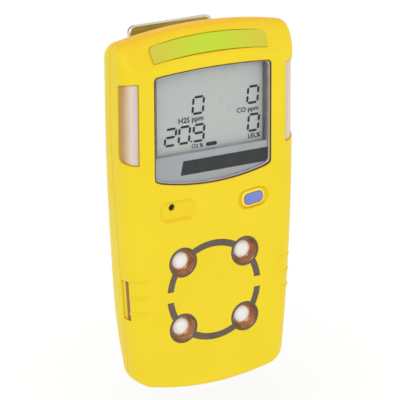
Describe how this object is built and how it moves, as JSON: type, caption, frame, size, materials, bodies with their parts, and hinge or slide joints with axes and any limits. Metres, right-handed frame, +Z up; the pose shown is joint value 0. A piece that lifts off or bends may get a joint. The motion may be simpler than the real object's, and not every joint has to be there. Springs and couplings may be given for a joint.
{
  "type": "portable gas detector",
  "caption": "Yellow clip-on multi-gas detector with a grey display, alarm light bars, a push button, sensor ports and a steel alligator clip on the back.",
  "frame": {"origin": "middle of the clip's grip line, where the jaw closes on the bracket, on the mirror plane of the detector", "axes": "+Z up to the alarm bar at the top, +X to the right as someone reads the display, +Y back from the display to the clip"},
  "size_m": [0.0584, 0.0289, 0.1134],
  "materials": {
    "yellow_plastic": "satin moulded yellow",
    "clear_window": "clear hard-coated plastic",
    "printed_frame": "printed silver and black",
    "lcd_glass": "grey liquid-crystal glass",
    "white_plastic": "milky diffuser",
    "lit_lens": "translucent yellow-green",
    "frosted_lens": "translucent, frosted inside",
    "circuit_board": "solder mask",
    "button_rubber": "satin blue-violet",
    "yellow_rubber": "satin",
    "seal_rubber": "matt grey-brown",
    "black_plastic": "fine grained",
    "steel": "polished stainless steel",
    "brass": "plain",
    "white_filter": "porous membrane",
    "sensor_can": "satin",
    "battery_foil": "foil pouch",
    "infrared_window": "dark red, clear to infrared"
  },
  "bodies": {
    "housing": {"alarm_led_1": "white_plastic", "alarm_led_2": "white_plastic", "alarm_led_3": "white_plastic", "alarm_led_4": "white_plastic", "backlight": "white_plastic", "battery": "battery_foil", "board_screw_1": "steel", "board_screw_2": "steel", "button_rim": "yellow_rubber", "buzzer": "black_plastic", "buzzer_membrane": "white_filter", "carbon_monoxide_filter": "white_filter", "carbon_monoxide_sensor": "sensor_can", "charge_contact_1": "brass", "charge_contact_2": "brass", "charge_port": "black_plastic", "clip_bracket": "steel", "clip_pin": "steel", "clip_screw_1": "steel", "clip_screw_2": "steel", "combustible_gas_filter": "white_filter", "combustible_gas_sensor": "sensor_can", "display_frame": "printed_frame", "display_holder": "black_plastic", "display_panel": "lcd_glass", "display_window": "clear_window", "front_shell": "yellow_plastic", "housing_screw_1": "steel", "housing_screw_2": "steel", "housing_screw_3": "steel", "housing_screw_4": "steel", "housing_screw_5": "steel", "housing_screw_6": "steel", "hydrogen_sulfide_filter": "white_filter", "hydrogen_sulfide_sensor": "sensor_can", "infrared_window": "infrared_window", "left_alarm_lens": "frosted_lens", "lower_port_seal": "seal_rubber", "main_board": "circuit_board", "oxygen_filter": "white_filter", "oxygen_sensor": "sensor_can", "rear_shell": "yellow_plastic", "right_alarm_lens": "frosted_lens", "sensor_carrier": "black_plastic", "shell_gasket": "seal_rubber", "tactile_switch": "black_plastic", "top_alarm_lens": "lit_lens", "upper_port_seal": "seal_rubber", "vibration_motor": "steel"},
    "button": {"push_button": "button_rubber"},
    "plunger": {"switch_plunger": "brass"},
    "clip": {"clip_lever": "steel", "clip_spring": "steel"},
    "motor_weight": {"vibration_weight": "brass"}
  },
  "joints": [
    {"name": "button_press", "type": "slide", "parent": "housing", "child": "button", "axis": [0, 1, 0], "range_m": [0, 0.0005], "stiffness_N_per_m": 2000, "springref_m": -0.0002},
    {"name": "plunger_press", "type": "slide", "parent": "housing", "child": "plunger", "axis": [0, 1, 0], "range_m": [0, 0.0005]},
    {"name": "clip_open", "type": "hinge", "parent": "housing", "child": "clip", "pos_m": [0, 0.0023, 0.0295], "axis": [1, 0, 0], "range_deg": [0, 20], "stiffness_Nm_per_rad": 0.25, "springref_deg": -20.05, "deforming": ["clip_spring"]},
    {"name": "weight_spin", "type": "hinge", "parent": "housing", "child": "motor_weight", "pos_m": [-0.0075, -0.007, -0.0193], "axis": [1, 0, 0], "continuous": true}
  ],
  "couplings": [
    {"joint": "plunger_press", "follows": "button_press", "ratio": 1}
  ]
}
